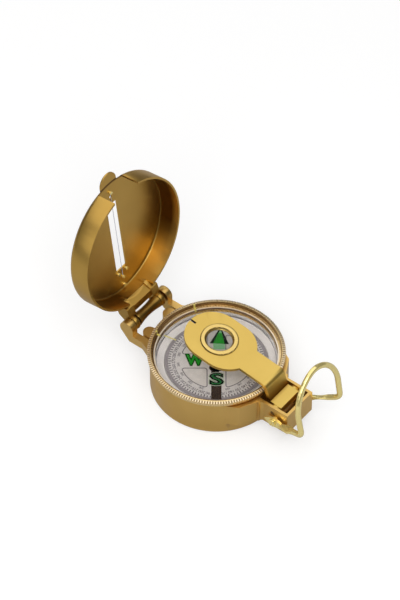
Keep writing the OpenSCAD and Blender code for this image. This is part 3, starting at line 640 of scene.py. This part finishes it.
BAR_TOP, LENS_LIGHT_TOP = 0.03, 0.05
BAR_START, BAR_END = -0.5, 0.6 - DIAL_R
BAR_EAST, BAR_WEST = 2.0, -2.15
BAR_SIDES = [(BAR_EAST, BAR_START), (BAR_EAST, BAR_END), (BAR_WEST, BAR_END), (BAR_WEST, BAR_START)]
# Painted shadow of the bracket on the dial, dark like the bar
BRACKET_SHADOW = ellipse((0, -3.6), (3.0, 2.2))
HUB_ROUND = ellipse((0, 0), (2.5, 2.5))
# Painted spot of light that the lens lets through onto the bar
LENS_LIGHT_SPOT = ellipse((2.1, -5.7), (1.15, 0.5), steps=24)

dial_piece("dial_bar", [slab(outline, 0.0, BAR_TOP) for outline in (BAR_SIDES, BRACKET_SHADOW, HUB_ROUND)], BAR)
dial_piece("bar_lens_light", [slab(LENS_LIGHT_SPOT, BAR_TOP, LENS_LIGHT_TOP)], DIAL)


# Letters, each a pale halo, a dark edge and a green face, one over the other

LETTER_SIZE = 8.4
# Middle, width and height, face, edge, and boldness of the edge
LETTERS = {"W": ((-8.75, 0.60), (8.3, 6.6), GREEN, DARK_GREEN, 0.80),
           "E": ((8.95, 0.65), (5.6, 6.6), GREEN, DARK_GREEN, 0.80),
           "S": ((0.05, -9.65), (6.0, 6.8), DEEP_GREEN, BLACK_INK, 0.48)}
# Layer, how much bolder it is than the edge, and its height
LETTER_LAYERS = (("halo", 0.28, 0.04), ("edge", 0, 0.05), ("face", -0.62, 0.08))

for letter, (middle, size, face, edge, bold) in LETTERS.items():
    edge_fitting = fitting(text_mesh(letter, LETTER_SIZE, bold), *size)
    mats = {"halo": HALO, "edge": edge, "face": face}
    for layer, bolder, z in LETTER_LAYERS:
        word = fitted(text_mesh(letter, LETTER_SIZE, bold + bolder), *edge_fitting)
        dial_piece("letter_%s_%s" % (letter.lower(), layer), [lettering(word, middle, 0.0, z)], mats[layer])


# North mark: a black edge, a green arrow with a painted highlight on its tip, and a pale strip under it

NORTH_MARKS = (
    ("north_edge", [(-2.75, 9.45), (5.1, 8.95), (1.65, 18.3)], 0.0, 0.05, BLACK_INK),
    ("north_arrow", [(-1.35, 9.3), (3.3, 9.1), (1.95, 16.2), (1.3, 16.2)], 0.05, 0.08, GREEN),
    # painted highlight near the arrow's tip
    ("north_tip_highlight", [(1.0, 14.9), (2.2, 14.9), (1.95, 16.2), (1.3, 16.2)], 0.08, 0.10, PALE_GREEN),
    ("north_strip", [(-1.2, 6.2), (3.5, 6.2), (3.4, 9.0), (-1.35, 9.2)], 0.0, 0.05, PALE_GREEN))

for name, outline, low, high, mat in NORTH_MARKS:
    dial_piece(name, [slab(outline, low, high)], mat)


# Painted shade in the sighting notch at the tip of the bracket: dark sheets just inside its three sides

NOTCH_HALF = 0.47
NOTCH_BACK, NOTCH_MOUTH = 12.13, 14.7  # these and the heights are with the bracket level
NOTCH_LOW, NOTCH_HIGH = 21.66, 23.0
NOTCH_SEAM = 0.02  # gap between the side walls and the back one


def on_bracket(x, y, z):
    """A point of the level bracket, brought to its tilt at rest."""
    c, s = math.cos(BRACKET_TILT), math.sin(BRACKET_TILT)
    return (x, PIN_Y + (y - PIN_Y) * c - (z - PIN_Z) * s, PIN_Z + (y - PIN_Y) * s + (z - PIN_Z) * c)


def notch_wall(start, end):
    """Upright dark sheet of painted shade in the notch, between two places."""
    corners = ((start, NOTCH_LOW), (end, NOTCH_LOW), (end, NOTCH_HIGH), (start, NOTCH_HIGH))
    return quad(on_bracket(*spot, z) for spot, z in corners)


notch_shade_sheets = [notch_wall((x, NOTCH_BACK + NOTCH_SEAM), (x, NOTCH_MOUTH)) for x in (-NOTCH_HALF, NOTCH_HALF)]
notch_shade_sheets.append(notch_wall((-NOTCH_HALF, NOTCH_BACK), (NOTCH_HALF, NOTCH_BACK)))
make_piece("notch_shade_sheets", notch_shade_sheets, BAR, "lens_arm")


# Two marks over the land, down the inner wall of the bezel and over the crystal's ring

MARK_HALF = 0.42
# Radius and height along a mark, just off the metal
MARK_LINE = ((LAND_R, BEZEL_TOP + 0.012), (BEZEL_IN + 0.02, BEZEL_TOP + 0.012),
             (BEZEL_IN - 0.04, BEZEL_TOP - 0.05), (BEZEL_IN - 0.04, LEDGE_Z + 0.03),
             (RING_R, LEDGE_Z + 0.03), (RING_IN - 0.02, RING_TOP + 0.03), (RING_IN - 0.02, CRYSTAL_TOP + 0.2))


def bezel_mark(name, angle):
    """A mark at this angle from +X, in degrees."""
    a = math.radians(angle)
    points = [(*turned([(r, side)], a)[0], z) for r, z in MARK_LINE for side in (-MARK_HALF, MARK_HALF)]
    faces = [[i, i + 1, i + 3, i + 2] for i in range(0, len(points) - 2, 2)]
    make_piece(name, [(points, faces)], YELLOW, "bezel")


bezel_mark("bezel_mark_long", 105)
bezel_mark("bezel_mark_short", 58)


# Floor and background

FLOOR_SIZE, FLOOR_Z = 8.0, -0.02 * MM  # in metres
FLOOR_GREY, FLOOR_GLOW = 0.46, 0.57  # together they come to white round the shadow
WORLD_LIGHT, WORLD_COLOUR = 0.03, (1.0, 0.93, 0.84)
GLOSSY_SHARE = 0.08  # how much of the white background satin metal mirrors
WHITE = (1.0, 1.0, 1.0)


def background_share(tree):
    """1 for rays from the camera or through glass, less for the blurred ones off satin metal."""
    ray = node(tree, "ShaderNodeLightPath").outputs
    straight = calc(tree, "MAXIMUM", ray["Is Camera Ray"], ray["Is Transmission Ray"])
    return calc(tree, "MAXIMUM", straight, times(tree, ray["Is Glossy Ray"], GLOSSY_SHARE))


def floor_material():
    """Grey floor that keeps the shadow, with a glow for the rays that see it straight."""
    mat, tree = new_material("pale_floor")
    strength = times(tree, background_share(tree), FLOOR_GLOW)
    matte = node(tree, "ShaderNodeBsdfDiffuse", {"Color": rgba((FLOOR_GREY,) * 3)}).outputs[0]
    glow = node(tree, "ShaderNodeEmission", {"Color": rgba(WHITE), "Strength": strength}).outputs[0]
    return surfaced(mat, node(tree, "ShaderNodeAddShader", {0: matte, 1: glow}))


def lay_floor():
    s = FLOOR_SIZE / 2
    corners = [(-s, -s, FLOOR_Z), (s, -s, FLOOR_Z), (s, s, FLOOR_Z), (-s, s, FLOOR_Z)]
    mesh = bpy.data.meshes.new("floor")
    mesh.from_pydata(corners, [], [[0, 1, 2, 3]])
    mesh.materials.append(floor_material())
    obj = bpy.data.objects.new("floor", mesh)
    scene.collection.objects.link(obj)


def set_world():
    """White where it is seen straight, and a weak warm light on the object."""
    world = bpy.data.worlds.new("studio")
    scene.world = world
    world.use_nodes = True
    tree = world.node_tree
    tree.nodes.clear()
    soft = node(tree, "ShaderNodeBackground", {"Color": rgba(WORLD_COLOUR), "Strength": WORLD_LIGHT})
    white = node(tree, "ShaderNodeBackground", {"Color": rgba(WHITE), "Strength": 1.0})
    seen = node(tree, "ShaderNodeMixShader", {"Fac": background_share(tree),
                                              1: soft.outputs[0], 2: white.outputs[0]})
    node(tree, "ShaderNodeOutputWorld", {"Surface": seen.outputs[0]})
    world.cycles.sampling_method = "NONE"


def softbox(name, pos, target, size, radiance, in_gloss=True):
    """Rectangular lamp with the same brightness all over, in metres."""
    light = bpy.data.lights.new(name, "AREA")
    light.shape = "RECTANGLE"
    light.size, light.size_y = size
    light.energy = math.pi * size[0] * size[1] * radiance
    obj = bpy.data.objects.new(name, light)
    scene.collection.objects.link(obj)
    obj.location = pos
    aim = Vector(target) - Vector(pos)
    obj.rotation_euler = aim.to_track_quat("-Z", "Y").to_euler()
    obj.visible_camera = False
    obj.visible_glossy = in_gloss


lay_floor()
set_world()
softbox("overhead", (0.15, 0.15, 1.15), (0.15, 0.15, 0), (1.9, 1.9), 1.0)
softbox("back", (0.7, 1.1, 0.75), (0, 0, 0.05), (1.3, 0.9), 0.7)
softbox("left", (-1.1, 0.1, 0.62), (0, 0, 0.03), (1.3, 0.75), 0.8)
softbox("front_fill", (-0.72, -0.58, 1.03), (0, 0, 0.02), (1.1, 1.1), 2.4, in_gloss=False)
softbox("front", (-0.70, -0.50, 1.02), (0, 0, 0.02), (0.8, 0.8), 1.7)


# Camera, fitted to the photograph

AZIMUTH, ELEVATION, ROLL = math.radians(-51.65), math.radians(48.15), math.radians(-0.33)
PHOTO_HEIGHT_PX, FOCAL_PX = 600, 3380.6
DISTANCE, SHIFT_RIGHT, SHIFT_UP = 1374.44, -6.70, 33.34  # of the camera from the origin
SENSOR_MM = 36.0
CLIP_NEAR, CLIP_FAR = 0.05, 20  # in metres


def set_camera():
    heading = Vector((-math.sin(AZIMUTH), math.cos(AZIMUTH), 0))
    view_dir = math.cos(ELEVATION) * heading + Vector((0, 0, -math.sin(ELEVATION)))
    level = Vector((math.cos(AZIMUTH), math.sin(AZIMUTH), 0))
    over = level.cross(view_dir)
    right = math.cos(ROLL) * level + math.sin(ROLL) * over
    up = -math.sin(ROLL) * level + math.cos(ROLL) * over
    cam = bpy.data.cameras.new("camera")
    cam.sensor_fit = "VERTICAL"
    cam.sensor_height = SENSOR_MM
    cam.lens = FOCAL_PX / PHOTO_HEIGHT_PX * SENSOR_MM
    cam.clip_start = CLIP_NEAR
    cam.clip_end = CLIP_FAR
    obj = bpy.data.objects.new("camera", cam)
    scene.collection.objects.link(obj)
    pos = (-DISTANCE * view_dir + SHIFT_RIGHT * right + SHIFT_UP * up) * MM
    obj.matrix_world = Matrix.Translation(pos) @ Matrix((right, up, -view_dir)).transposed().to_4x4()
    scene.camera = obj


set_camera()
bpy.context.view_layer.update()
